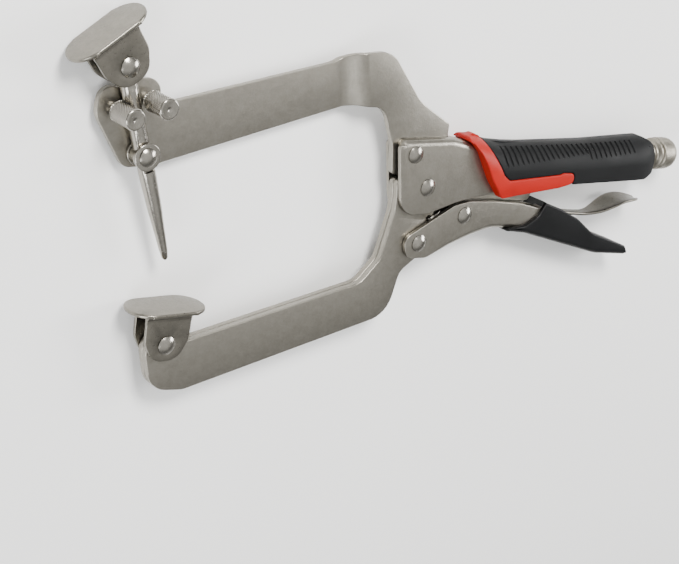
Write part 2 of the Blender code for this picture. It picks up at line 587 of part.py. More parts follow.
def make_release_lever():
    """Bent strip on a barrel, with its nose below the toggle link and a paddle between the handles."""
    upper = mm((72.0, -13.0, 1), (78.4, -14.0, 3), (97.4, -17.4, 25), (109.6, -18.8, 20), (121.0, -17.9, 16),
               (132.0, -12.6, 14), (146.4, -13.6, 1))
    lower = mm((146.2, -15.6, 1), (132.6, -14.8, 14), (121.6, -19.9, 16), (109.6, -20.6, 20), (97.0, -19.2, 25),
               (82.4, -19.4, 3), (78.2, -21.4, 3), (74.4, -18.4, 3), (71.4, -14.4, 1))
    lever = plate("release_lever", fillet(upper + lower), -0.0076, 0.0076, SATIN_STEEL,
                  [(RELEASE_PIVOT, 0.0016 + HOLE_PLAY)])
    for side in (-1, 1):
        low, high = sorted((side * 0.0031, side * 0.010))
        relief = plate(f"release_relief_{side}", fillet(mm((60, 0), (112, 0, 3), (117, -30, 3), (60, -30))), low,
                       high, collection=CUTTERS)
        combine(lever, relief, "DIFFERENCE")
    paddle_end = fillet(mm((60, -7.7), (141, -7.7, 9), (148, 0, 4), (141, 7.7, 9), (60, 7.7)))
    trim = plate("release_paddle_outline", paddle_end, 0.0, 0.030, collection=CUTTERS)
    trim.rotation_euler = (math.pi / 2, 0.0, 0.0)
    combine(lever, trim, "INTERSECT")


def make_tension_spring():
    """Wire from the movable jaw's small hole, through a coil, to the anchor pin in the handle."""
    start = Vector((*SPRING_HOLE, 0.0))
    end = Vector((*SPRING_ANCHOR, 0.0))
    along = (end - start).normalized()
    across = Vector((-along.y, along.x, 0.0))
    out = Vector((0.0, 0.0, 1.0))
    hook_height = 0.0039
    coil_radius = 0.0024
    coil_start, coil_end, turns, per_turn = 0.0235, 0.0445, 13, 10
    route = [start - out * 0.0030, start + out * (hook_height - 0.0006), start + out * hook_height + along * 0.0006]
    route.append(start + along * 0.0050 + out * hook_height)
    route.append(start + along * 0.0066 + out * 0.0034)
    route.append(start + along * 0.0086 + out * 0.0006)
    route.append(start + along * (coil_start - 0.003))
    count = turns * per_turn
    for k in range(count + 1):
        angle = 2 * math.pi * k / per_turn
        reach = coil_start + (coil_end - coil_start) * k / count
        route.append(start + along * reach + (out * math.cos(angle) + across * math.sin(angle)) * coil_radius)
    loop_radius = 0.0014 + 0.0011
    for k in range(7):
        angle = math.radians(-60 + 50 * k)
        route.append(end + out * (0.0010 - 0.0004 * k)
                     + (along * -math.cos(angle) + across * math.sin(angle)) * loop_radius)
    curve = bpy.data.curves.new("tension_spring", "CURVE")
    curve.dimensions = "3D"
    curve.bevel_depth = 0.0005
    curve.bevel_resolution = 1
    curve.use_fill_caps = True
    spline = curve.splines.new("POLY")
    spline.points.add(len(route) - 1)
    for point, place in zip(spline.points, route):
        point.co = (*place, 1.0)
    spring = bpy.data.objects.new("tension_spring", curve)
    spring.parent = ROOT
    PARTS.objects.link(spring)
    curve.materials.append(SPRING_STEEL)


make_upper_handle()
make_grips()
make_adjusting_screw()
make_fixed_jaw()
make_stop_pins()
make_swing_rod()
make_rod_washers()
make_pad("upper_swivel_pad", UPPER_PAD_PIVOT, UPPER_PAD_ANGLE, ROD_MIDDLE)
make_pad("lower_swivel_pad", LOWER_PAD_PIVOT, LOWER_PAD_ANGLE)
make_movable_jaw()
make_lower_lever()
make_lever_cover()
make_toggle_link()
make_release_lever()
make_tension_spring()
rivet("fixed_jaw_rivet", FIXED_JAW_RIVET, -HANDLE_OUTER, HANDLE_OUTER)
rivet("jaw_pivot_rivet", JAW_PIVOT, -HANDLE_OUTER, HANDLE_OUTER)
rivet("lever_jaw_rivet", LEVER_JAW_PIVOT, -LEVER_OUTER, LEVER_OUTER)
rivet("lever_link_rivet", LEVER_LINK_PIVOT, -LEVER_OUTER, LEVER_OUTER)
rivet("rod_pivot_rivet", ROD_PIVOT, ARM_FACE - 2 * FIXED_PLATE_HALF, WASHER_TOP, shank=0.0019, head=0.0039)
rivet("upper_pad_rivet", UPPER_PAD_PIVOT, ROD_MIDDLE - EAR_OUTER, ROD_MIDDLE + EAR_OUTER, shank=0.0019)
rivet("lower_pad_rivet", LOWER_PAD_PIVOT, -EAR_OUTER, EAR_OUTER, shank=0.0019)

for part in PARTS.objects:
    if part.type == "MESH":
        part.data.shade_smooth()
        part.data.set_sharp_from_angle(angle=math.radians(30))
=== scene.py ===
"""Locking pliers on a pale table: the visible pieces, their materials, the lights and the camera.

Design millimetres are measured from the jaw pivot: X along the handle, Y to the fixed jaw, Z up.
"""
import math

import bmesh
import bpy
from mathutils import Matrix, Vector


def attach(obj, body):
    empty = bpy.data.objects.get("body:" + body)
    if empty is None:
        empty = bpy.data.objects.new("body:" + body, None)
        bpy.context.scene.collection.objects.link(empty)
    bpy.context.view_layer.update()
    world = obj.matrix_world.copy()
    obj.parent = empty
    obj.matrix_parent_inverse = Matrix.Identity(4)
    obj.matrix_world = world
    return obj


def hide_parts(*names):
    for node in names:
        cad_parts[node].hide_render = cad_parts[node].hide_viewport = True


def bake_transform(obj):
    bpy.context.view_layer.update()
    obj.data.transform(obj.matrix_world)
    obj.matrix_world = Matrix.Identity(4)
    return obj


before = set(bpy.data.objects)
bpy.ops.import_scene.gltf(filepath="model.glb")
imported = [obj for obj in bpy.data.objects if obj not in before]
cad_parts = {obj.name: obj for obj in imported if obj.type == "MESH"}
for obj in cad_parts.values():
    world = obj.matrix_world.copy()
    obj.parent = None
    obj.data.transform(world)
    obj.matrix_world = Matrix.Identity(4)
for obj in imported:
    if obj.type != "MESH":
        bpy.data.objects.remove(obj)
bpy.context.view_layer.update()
SCENE = bpy.context.scene

MM = 0.001
PLACE = Vector((0.00904, 0.00349, 0.0110))       # the jaw pivot in the model's frame
PIVOT_FRAME = Matrix.Translation(PLACE)

JAW_PIVOT = (0.0, 0.0)
FIXED_JAW_RIVET = (-10.4, 15.8)
LEVER_JAW_PIVOT = (0.5, -26.8)
LEVER_LINK_PIVOT = (25.8, -14.7)
ROD_PIVOT = (-147.8, 18.4)
LOWER_PAD_PIVOT = (-129.5, -63.2)
SPRING_HOLE = (5.7, -16.0)
SPRING_ANCHOR = (50.0, 11.4)
ROD_LEAN = math.radians(19.7)
UPPER_PAD_PIVOT = (ROD_PIVOT[0] - 39.0 * math.sin(ROD_LEAN), ROD_PIVOT[1] + 39.0 * math.cos(ROD_LEAN))
STOP_PINS = {"left": (-160.8, 36.4), "right": (-146.2, 40.4)}
SCREW_AXIS = 9.8


# Materials ------------------------------------------------------------------------------------

class Nodes:
    """Small helper that adds and links shader nodes."""

    def __init__(self, name):
        self.material = bpy.data.materials.new(name)
        self.material.use_nodes = True
        self.tree = self.material.node_tree
        self.shader = self.tree.nodes["Principled BSDF"]
        self.place = self.add("ShaderNodeTexCoord").outputs["Object"]

    def add(self, kind, inputs=None, **settings):
        node = self.tree.nodes.new(kind)
        for key, value in settings.items():
            setattr(node, key, value)
        for key, value in (inputs or {}).items():
            if hasattr(value, "links"):
                self.tree.links.new(value, node.inputs[key])
            else:
                node.inputs[key].default_value = value
        return node

    def noise(self, scale, detail=4.0, rough=0.55, stretch=None):
        place = self.place
        if stretch:
            place = self.add("ShaderNodeMapping", {"Vector": place, "Scale": stretch}).outputs["Vector"]
        made = self.add("ShaderNodeTexNoise", {"Vector": place, "Scale": scale, "Detail": detail,
                                               "Roughness": rough})
        return made.outputs["Fac"]

    def spread(self, value, low, high, start=0.3, end=0.7):
        made = self.add("ShaderNodeMapRange", {"Value": value, "From Min": start, "From Max": end,
                                               "To Min": low, "To Max": high})
        return made.outputs["Result"]

    def blend(self, amount, first, second):
        made = self.add("ShaderNodeMix", data_type="RGBA")
        self.tree.links.new(amount, made.inputs[0])
        made.inputs[6].default_value = (*first, 1.0)
        made.inputs[7].default_value = (*second, 1.0)
        return made.outputs[2]

    def bump(self, height, strength, distance, below=None):
        inputs = {"Height": height, "Strength": strength, "Distance": distance}
        if below:
            inputs["Normal"] = below
        return self.add("ShaderNodeBump", inputs).outputs["Normal"]

    def plug(self, **sockets):
        for name, value in sockets.items():
            socket = self.shader.inputs[name.replace("_", " ")]
            if hasattr(value, "links"):
                self.tree.links.new(value, socket)
            else:
                socket.default_value = value
        return self.material


def nickel(name, dark, light, rough, grain=1.0):
    """Nickel plate with a fine mottled blast texture, faint stains and uneven gloss."""
    nodes = Nodes(name)
    cloud = nodes.noise(210.0, 10.0, 0.80)
    fine = nodes.noise(900.0, 3.0, 0.6)
    pits = nodes.noise(2600.0, 2.0, 0.5)
    colour = nodes.blend(nodes.spread(cloud, 0.0, 1.0, 0.28, 0.72), dark, light)
    roughness = nodes.spread(fine, rough[0], rough[1])
    normal = nodes.bump(fine, 0.15 * grain, 0.0003)
    normal = nodes.bump(pits, 0.08 * grain, 0.0001, normal)
    return nodes.plug(Base_Color=colour, Metallic=1.0, Roughness=roughness, Normal=normal)


def rubber(name, dark, light, rough, sheen):
    """Moulded rubber with a fine skin grain and slightly paler handled patches."""
    nodes = Nodes(name)
    cloud = nodes.noise(45.0, 4.0, 0.6)
    skin = nodes.noise(2200.0, 3.0, 0.6)
    colour = nodes.blend(nodes.spread(cloud, 0.0, 1.0), dark, light)
    roughness = nodes.spread(cloud, rough[0], rough[1])
    normal = nodes.bump(skin, 0.16, 0.0001)
    return nodes.plug(Base_Color=colour, Roughness=roughness, Normal=normal, Specular_IOR_Level=sheen)


SATIN = nickel("satin_nickel", (0.245, 0.230, 0.198), (0.335, 0.316, 0.275), (0.30, 0.44))
# Darker copy of the satin nickel for the pads and the release strip: painted shade standing in for their darker
# reflection.
SHADED_NICKEL = nickel("shaded_nickel", (0.165, 0.155, 0.132), (0.245, 0.230, 0.198), (0.26, 0.40), 0.8)
BRIGHT = nickel("bright_nickel", (0.255, 0.24, 0.21), (0.40, 0.38, 0.34), (0.15, 0.28), 0.5)
KNOB = nickel("tumbled_nickel", (0.17, 0.156, 0.128), (0.38, 0.355, 0.305), (0.32, 0.52), 2.4)
SPRING = nickel("drawn_wire", (0.10, 0.095, 0.085), (0.20, 0.19, 0.17), (0.24, 0.36), 0.5)
# Darker copy of the nickel for the inner walls of the hollows: painted shade.
SHADED_INSIDE = nickel("unlit_wall", (0.16, 0.15, 0.13), (0.22, 0.205, 0.178), (0.42, 0.55))
BLACK = rubber("black_grip_rubber", (0.0022, 0.0024, 0.0027), (0.0040, 0.0044, 0.0049), (0.50, 0.62), 0.16)
RED = rubber("red_grip_rubber", (0.29, 0.0060, 0.0028), (0.36, 0.0085, 0.0040), (0.40, 0.52), 0.20)
VINYL = rubber("dipped_black_vinyl", (0.0022, 0.0024, 0.0027), (0.0040, 0.0043, 0.0048), (0.36, 0.48), 0.20)


# Outlines -------------------------------------------------------------------------------------

def fillet(corners, step=math.radians(6)):
    """Closed outline in metres from corners (x, y, radius) in millimetres, each rounded to its radius."""
    corners = [(x * MM, y * MM, (rest[0] if rest else 0.0) * MM) for x, y, *rest in corners]
    outline = []
    count = len(corners)
    for i, (x, y, radius) in enumerate(corners):
        here = Vector((x, y))
        before = Vector(corners[i - 1][:2]) - here
        after = Vector(corners[(i + 1) % count][:2]) - here
        if radius <= 0.0:
            outline.append(here)
            continue
        turn = before.angle(after)
        reach = min(radius / math.tan(turn / 2), 0.49 * before.length, 0.49 * after.length)
        radius = reach * math.tan(turn / 2)
        middle = (before.normalized() + after.normalized()).normalized()
        centre = here + middle * (radius / math.sin(turn / 2))
        start = here + before.normalized() * reach - centre
        sweep = math.pi - turn
        side = 1.0 if before.cross(after) < 0.0 else -1.0
        steps = max(2, round(sweep / step))
        outline += [centre + Matrix.Rotation(side * sweep * k / steps, 2) @ start for k in range(steps + 1)]
    if sum(outline[i - 1].cross(outline[i]) for i in range(len(outline))) < 0.0:
        outline.reverse()
    return outline


def circle(centre, radius, count=48):
    return [Vector((centre[0] * MM + radius * MM * math.cos(2 * math.pi * k / count),
                    centre[1] * MM + radius * MM * math.sin(2 * math.pi * k / count))) for k in range(count)]


def outward(outline):
    count = len(outline)
    found = []
    for i in range(count):
        run = outline[(i + 1) % count] - outline[i - 1]
        found.append(Vector((run.y, -run.x)).normalized())
    return found


def ramp(value, low, high):
    return min(max((value - low) / (high - low), 0.0), 1.0)


def smooth(value, low, high):
    share = ramp(value, low, high)
    return share * share * (3 - 2 * share)


# Meshes ---------------------------------------------------------------------------------------

def finish_mesh(name, shape, look, sharp=32.0, place=PIVOT_FRAME):
    """Turns a bmesh into an object with smooth shading and one material."""
    bmesh.ops.recalc_face_normals(shape, faces=shape.faces)
    mesh = bpy.data.meshes.new(name)
    shape.to_mesh(mesh)
    shape.free()
    mesh.transform(place)
    mesh.materials.append(look)
    mesh.shade_smooth()
    mesh.set_sharp_from_angle(angle=math.radians(sharp))
    thing = bpy.data.objects.new(name, mesh)
    SCENE.collection.objects.link(thing)
    return thing


def filled(shape, loops, height):
    """Adds a flat cap bounded by an outer loop and hole loops."""
    edges = []
    for loop in loops:
        verts = [shape.verts.new((p.x, p.y, height)) for p in loop]
        edges += [shape.edges.new((verts[i - 1], verts[i])) for i in range(len(verts))]
    bmesh.ops.triangle_fill(shape, use_beauty=True, edges=edges)


def pressed_shape(outline, low, high, rim, holes=(), steps=4):
    """Plate with rounded rims; rim is a radius in millimetres or a function of place and direction."""
    shape = bmesh.new()
    out = outward(outline)
    rims = [(rim(p, n) if callable(rim) else rim) * MM for p, n in zip(outline, out)]
    angles = [math.pi / 2 * k / steps for k in range(steps + 1)]
    rings = []
    for upper in (False, True):
        for angle in (angles if upper else reversed(angles)):
            ring = []
            for point, normal, radius in zip(outline, out, rims):
                moved = point - normal * (radius * (1 - math.cos(angle)))
                height = high - radius * (1 - math.sin(angle)) if upper else low + radius * (1 - math.sin(angle))
                ring.append(shape.verts.new((moved.x, moved.y, height)))
            rings.append(ring)
    for lower, upper in zip(rings, rings[1:]):
        for i in range(len(outline)):
            shape.faces.new((lower[i - 1], lower[i], upper[i], upper[i - 1]))
    hole_rim = 0.3
    for height, ring in ((low, rings[0]), (high, rings[-1])):
        filled(shape, [[v.co.to_2d() for v in ring]] + [circle(c, r + hole_rim) for c, r in holes], height)
    for centre, radius in holes:
        levels = [(radius + hole_rim, low), (radius + 0.1, low + 0.1 * MM), (radius, low + hole_rim * MM),
                  (radius, high - hole_rim * MM), (radius + 0.1, high - 0.1 * MM), (radius + hole_rim, high)]
        loops = [[shape.verts.new((p.x, p.y, height)) for p in circle(centre, r)] for r, height in levels]
        for lower, upper in zip(loops, loops[1:]):
            for i in range(len(lower)):
                shape.faces.new((lower[i - 1], upper[i - 1], upper[i], lower[i]))
    bmesh.ops.remove_doubles(shape, verts=shape.verts, dist=1e-6)
    return shape


def pressed(name, corners, low, high, rim, look, holes=(), place=PIVOT_FRAME, sharp=32.0):
    return finish_mesh(name, pressed_shape(fillet(corners), low * MM, high * MM, rim, holes), look, sharp, place)


def revolved(name, profile, look, place, count=64, shift=None, sharp=32.0):
    """Turned piece about its own Z, from (radius, height) in millimetres; shift adds to the radius."""
    shape = bmesh.new()
    rings = []
    for radius, height in profile:
        if radius <= 0.0:
            rings.append([shape.verts.new((0.0, 0.0, height * MM))])
            continue
        ring = []
        for k in range(count):
            angle = 2 * math.pi * k / count
            size = radius + (shift(angle, height, radius) if shift else 0.0)
            ring.append(shape.verts.new((size * MM * math.cos(angle), size * MM * math.sin(angle), height * MM)))
        rings.append(ring)
    for lower, upper in zip(rings, rings[1:]):
        for k in range(count):
            one = [lower[k - 1], lower[k]] if len(lower) > 1 else [lower[0]]
            two = [upper[k], upper[k - 1]] if len(upper) > 1 else [upper[0]]
            if len(one) + len(two) > 2:
                shape.faces.new(one + two)
    return finish_mesh(name, shape, look, sharp, place)


def cut(thing, other, operation="DIFFERENCE"):
    """Applies an exact Boolean and removes the cutter."""
    change = thing.modifiers.new("cut", "BOOLEAN")
    change.operation = operation
    change.solver = "EXACT"
    change.object = other
    bpy.context.view_layer.update()
    graph = bpy.context.evaluated_depsgraph_get()
    mesh = bpy.data.meshes.new_from_object(thing.evaluated_get(graph))
    thing.modifiers.clear()
    thing.data = mesh
    bpy.data.objects.remove(other, do_unlink=True)
    mesh.shade_smooth()
    mesh.set_sharp_from_angle(angle=math.radians(32))


def at(x, y, z=0.0):
    return Matrix.Translation(PLACE + Vector((x, y, z)) * MM)


def along_x(x, y, z=0.0):
    """Frame whose local Z runs along the handle."""
    return at(x, y, z) @ Matrix.Rotation(math.pi / 2, 4, "Y")


def widened(shape, rear, front):
    """Widens a shape along Z towards the rear, as the handle does under its grip."""
    for k in range(9):
        place = (45.0 + 25.0 * k / 8) * MM
        everything = shape.verts[:] + shape.edges[:] + shape.faces[:]
        bmesh.ops.bisect_plane(shape, geom=everything, plane_co=(place, 0, 0), plane_no=(1, 0, 0), dist=1e-7)
    for vertex in shape.verts:
        vertex.co.z *= 1 + (rear / front - 1) * smooth(vertex.co.x, 0.045, 0.070)
    return shape


def carried(pieces, body, node=None):
    """Lets pieces ride on a body and stand for a CAD node."""
    for piece in pieces:
        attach(piece, body)
        if node:
            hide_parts(node)


# Upper handle ---------------------------------------------------------------------------------

REAR = 142.0
HANDLE_OUTER, HANDLE_INNER, REAR_HALF = 5.4, 3.5, 7.4
HANDLE = [(-20.8, 22.5, 4.0), (-13.1, -12.9, 14), (3.0, -12.7, 8), (18.0, -8.4, 10), (27.6, -6.4, 12),
          (42, -4.3, 10), (90, 0.4, 10), (REAR, 1.8, 1), (REAR, 16.8, 2), (60, 16.2, 20), (34, 17.6, 20),
          (12, 22.5, 14)]


def make_handle():
    def rim(place, out):
        return 0.35 + 3.0 * smooth(out.y, 0.25, 0.85)

    shell = widened(pressed_shape(fillet(HANDLE), -HANDLE_OUTER * MM, HANDLE_OUTER * MM, rim, steps=8),
                    REAR_HALF, HANDLE_OUTER)
    bmesh.ops.triangulate(shell, faces=shell.faces)
    handle = finish_mesh("handle_shell", shell, SATIN)
    inside = [(-30, 20.3), (-30, -20), (170, -20), (170, 6), (REAR - 18, 6), (REAR - 18, 14.6), (60, 14.2, 20),
              (34, 15.6, 20), (12, 20.3, 14)]
    space = widened(pressed_shape(fillet(inside), -HANDLE_INNER * MM, HANDLE_INNER * MM, 0.01, steps=1),
                    REAR_HALF, HANDLE_OUTER)
    bmesh.ops.triangulate(space, faces=space.faces)
    cut(handle, finish_mesh("handle_space", space, SHADED_INSIDE))
    slot = [(-32, 14.0), (10.8, 14.0), (10.8, 30.0), (-32, 30.0)]
    cut(handle, pressed("jaw_slot", slot, -1.8, 1.8, 0.01, SHADED_INSIDE))
    wall = [(5.95, -19.0), (7.3, -19.0), (7.3, -0.5), (6.9, 0.0), (6.2, 0.0), (5.95, -0.4), (5.95, -19.0)]
    tube = revolved("screw_tube", wall, SATIN, along_x(REAR, SCREW_AXIS))
    carried([handle, tube], "handle", "upper_handle_channel")


RED_BAND = [(20.6, 20.9, 0.8), (20.6, 22.9, 1.2), (25.4, 24.0, 2), (29.0, 22.8, 3), (34.2, 15.8, 10),
            (41.8, 5.4, 4), (45.8, 2.7, 3), (78.5, 4.3, 4), (80.6, 5.1, 2), (88.3, 4.8, 2.6), (88.3, -0.4, 2.6),
            (79.5, -2.4, 8), (51.0, -5.4, 3), (43.6, -6.4, 3), (40.6, -3.2, 8), (35.4, 2.6, 20), (26.6, 15.8, 10),
            (22.4, 20.4, 1)]
BLACK_GRIP = [(30.1, 21.6, 0.6), (36.0, 20.4, 6), (46, 19.5, 20), (60, 18.9, 20), (100, 19.0, 30),
              (138.0, 20.4, 8), (144.8, 17.6, 4), (147.2, 11.0, 6), (147.0, 2.2, 3), (140.2, -0.6, 2),
              (88.5, -0.9, 0.5), (88.5, 5.0, 2.85), (80.57, 5.3, 2.2), (78.46, 4.5, 3.8),
              (45.86, 2.9, 2.8), (41.95, 5.55, 3.8), (34.36, 15.92, 10)]
GRIP_HALF = 10.8


def groove_tube(shape, route, radius, sides=8):
    """Adds a closed tube along a route of points."""
    rings = []
    for i, point in enumerate(route):
        run = (route[min(i + 1, len(route) - 1)] - route[max(i - 1, 0)]).normalized()
        side = Vector((1.0, 0.0, 0.0))
        side = (side - run * side.dot(run)).normalized()
        lift = run.cross(side)
        rings.append([shape.verts.new(point + (side * math.cos(2 * math.pi * k / sides)
                                               + lift * math.sin(2 * math.pi * k / sides)) * radius)
                      for k in range(sides)])
    for lower, upper in zip(rings, rings[1:]):
        for k in range(sides):
            shape.faces.new((lower[k - 1], lower[k], upper[k], upper[k - 1]))
    shape.faces.new(rings[0])
    shape.faces.new(rings[-1])


def grip_top(x):
    """Height of the grip's crown above the pivot, in millimetres."""
    return 19.0 + 1.4 * ramp(x, 100.0, 138.0) + 5.0 * ramp(-x, -42.0, -20.0)


def grip_width(x, y):
    """Share of the grip's full width at a place on its side, in millimetres."""
    rise = 0.985 * ramp(y, grip_top(x) - 13.0, grip_top(x))
    width = math.sqrt(1 - rise ** 2.0) * (1 - 0.30 * ramp(x, 130.0, 148.0) ** 2.5)
    return width * (1 - 0.10 * ramp(-y, -0.5, 5.0) ** 2)


def rounded_grip(name, outline, half, look):
    """Moulded grip with a rounded section, cut finely enough to curve smoothly."""
    shape = pressed_shape(fillet(outline), -half * MM, half * MM, 0.55, steps=4)
    heights = steps_between(-5.0, 5.0, 2.0) + steps_between(5.5, 24.0, 0.5)
    lengths = steps_between(20.0, 126.0, 4.0) + steps_between(128.0, 149.0, 1.0)
    cuts = [(Vector((0.0, 1.0, 0.0)), y) for y in heights] + [(Vector((1.0, 0.0, 0.0)), x) for x in lengths]
    for normal, place in cuts:
        everything = shape.verts[:] + shape.edges[:] + shape.faces[:]
        bmesh.ops.bisect_plane(shape, geom=everything, plane_co=normal * place * MM, plane_no=normal, dist=1e-7)
    for vertex in shape.verts:
        vertex.co.z *= grip_width(vertex.co.x / MM, vertex.co.y / MM)
    bmesh.ops.triangulate(shape, faces=shape.faces)
    return finish_mesh(name, shape, look, 50.0)


def make_grips():
    def arch(place, out):
        return 0.01 + 3.3 * smooth(out.y, 0.25, 0.85)

    hollow = [(-30, 17.0), (-30, -20), (142.2, -20), (142.2, 17.4, 2), (60, 16.5, 20), (34, 17.9, 20),
              (12.4, 22.8, 14), (0, 22.9)]
    pieces = []
    for name, corners, half, look in (("grip_black_rubber", BLACK_GRIP, GRIP_HALF, BLACK),
                                      ("grip_red_band", RED_BAND, GRIP_HALF, RED)):
        grip = rounded_grip(name, corners, half, look)
        reach = (HANDLE_OUTER + 0.1) * MM
        space = widened(pressed_shape(fillet(hollow), -reach, reach, arch, steps=5), REAR_HALF, HANDLE_OUTER)
        bmesh.ops.triangulate(space, faces=space.faces)
        cut(grip, finish_mesh(name + "_space", space, look))
        pieces.append(grip)
    steps = [(0.0, -19.2), (7.5, -19.2), (7.5, 0.2), (5.95, 0.2), (5.95, 8.0), (0.0, 8.0)]
    bore = revolved("grip_bore", steps, BLACK, along_x(REAR, SCREW_AXIS))
    cut(pieces[0], bore)
    grooves = bmesh.new()
    for k in range(27):
        x = 40.6 + 3.36 * k
        length = 8.8 - 0.30 * k if k < 17 else 6.8 - 0.16 * (k - 17)
        for side in (-1, 1):
            route = []
            for share in (0.0, 0.1, 0.2, 0.32, 0.45, 0.6, 0.75, 0.88, 1.0):
                y = grip_top(x) - 0.9 - length * share
                across = x + 2.6 * share ** 1.7 * (1.0 if k < 17 else 0.5)
                run_out = 0.5 * ramp(share, 0.88, 1.0) + 0.4 * ramp(-share, -0.1, 0.0)
                z = GRIP_HALF * grip_width(across, y) - 0.02 + run_out
                route.append(Vector((across, y, z * side)) * MM)
            groove_tube(grooves, route, 0.68 * MM)
    cut(pieces[0], finish_mesh("grip_grooves", grooves, BLACK))
    carried(pieces[:1], "handle", "handle_grip_black")
    carried(pieces[1:], "handle", "handle_grip_red")


def knurl(angle, height, count, pitch, depth):
    """Diamond knurl: the lower of two crossed sets of ridges."""
    turn = angle * count / (2 * math.pi)
    one = abs((turn + height / pitch) % 1.0 - 0.5) * 2
    two = abs((turn - height / pitch) % 1.0 - 0.5) * 2
    return -depth * (1 - min(one, two))


def steps_between(low, high, gap):
    count = max(1, round(abs(high - low) / gap))
    return [low + (high - low) * k / count for k in range(count + 1)]


def make_screw():
    def thread(angle, height, radius):
        if 126.6 <= height <= 150.2:
            fade = ramp(height, 126.6, 128.0) * (1 - ramp(height, 149.0, 150.2))
            return -0.55 * fade * abs((height / 1.5 - angle / (2 * math.pi)) % 1.0 - 0.5) * 2
        if 155.2 <= height <= 164.0:
            fade = ramp(height, 155.2, 156.0) * (1 - ramp(height, 161.6, 164.0))
            return 0.5 * fade * knurl(angle, height, 44, 1.5, 0.42)
        return 0.0

    def dome(height):
        return 8.25 * math.sqrt(1 - ramp(height, 158.8, 167.0) ** 3)

    profile = [(0.0, 78.2), (3.0, 79.4), (4.1, 82.4), (4.1, 125.0), (5.6, 126.5)]
    profile += [(5.6, h) for h in steps_between(126.6, 150.2, 0.19)]
    profile += [(5.3, 150.7), (5.3, 151.4), (6.2, 152.0), (7.7, 152.2), (8.05, 152.6), (8.05, 153.2),
                (7.7, 153.6), (6.8, 153.9), (6.8, 154.6), (7.8, 154.9)]
    profile += [(dome(h), h) for h in steps_between(155.3, 164.6, 0.16) + [165.2, 165.8, 166.3, 166.7, 166.9]]
    profile += [(0.0, 167.0)]
    screw = revolved("screw_and_knob", profile, KNOB, along_x(0.0, SCREW_AXIS), 176, thread, 60.0)
    carried([screw], "adjusting_screw", "adjusting_screw")


# Fixed jaw ------------------------------------------------------------------------------------

FIXED_JAW = [(-167.6, 45.6, 8.0), (-155.0, 44.8, 2.5), (-154.6, 48.6, 5), (-140.6, 48.2, 8), (-139.7, 37.6, 2),
             (-56.4, 55.0, 12), (-46.6, 60.2, 14), (-29.6, 61.6, 13), (-8.8, 38.6, 26), (10.2, 28.4, 2),
             (10.2, 21.0, 0.8), (10.4, 18.6, 1), (10.4, 10.8, 2), (5.2, 10.2, 3), (-1.4, 11.2, 9), (-7.9, 10.2, 3),
             (-14.6, 5.6, 2), (-19.2, 6.0, 2), (-21.8, 20.0, 20), (-29.4, 36.6, 9), (-43.4, 37.0, 8),
             (-141.2, 12.2, 7), (-153.9, 12.0, 6), (-168.6, 34.0, 9)]
ARM_ANGLE = math.radians(12.7)
JOGGLE_START, JOGGLE_END, JOGGLE_DEPTH = -29.2, -39.0, 6.3
ARM_FACE = 1.5 - JOGGLE_DEPTH


def make_fixed_jaw():
    shape = pressed_shape(fillet(FIXED_JAW), -1.5 * MM, 1.5 * MM, 0.45)
    along = Vector((math.cos(ARM_ANGLE), math.sin(ARM_ANGLE), 0.0))
    for k in range(25):
        bend = (JOGGLE_START + 1.2 + (JOGGLE_END - JOGGLE_START - 2.4) * k / 24) * MM
        everything = shape.verts[:] + shape.edges[:] + shape.faces[:]
        bmesh.ops.bisect_plane(shape, geom=everything, plane_co=along * bend, plane_no=along, dist=1e-7)
    for vertex in shape.verts:
        share = (JOGGLE_START - vertex.co.dot(along) / MM) / (JOGGLE_START - JOGGLE_END)
        straight = min(max(share, 0.0), 1.0)
        soft = smooth(share, -0.10, 1.10)
        vertex.co.z -= JOGGLE_DEPTH * (0.45 * straight + 0.55 * soft) * MM
    jaw = finish_mesh("fixed_jaw_plate", shape, SATIN, 40.0)
    carried([jaw], "handle", "fixed_jaw_arm")


def make_stop_pins():
    def ridges(angle, height, radius):
        return knurl(angle, height, 30, 1.25, 0.46) if 0.0 <= height <= 12.0 else 0.0

    for side, place in STOP_PINS.items():
        base = ARM_FACE - 3.0
        profile = [(0.0, base), (2.2, base), (2.4, base + 0.2), (2.4, -0.9), (3.9, -0.9), (4.3, -0.5)]
        profile += [(4.5, h) for h in steps_between(-0.1, 12.1, 0.125)]
        profile += [(4.3, 12.5), (4.1, 12.75), (3.8, 12.88), (3.4, 12.9), (3.0, 12.84), (1.4, 12.76), (0.9, 12.7),
                    (0.5, 12.5), (0.0, 12.4)]
        pin = revolved("knurled_pin_" + side, profile, BRIGHT, at(*place), 180, ridges, 60.0)
        carried([pin], "stop_pin_" + side, "stop_pin_" + side)


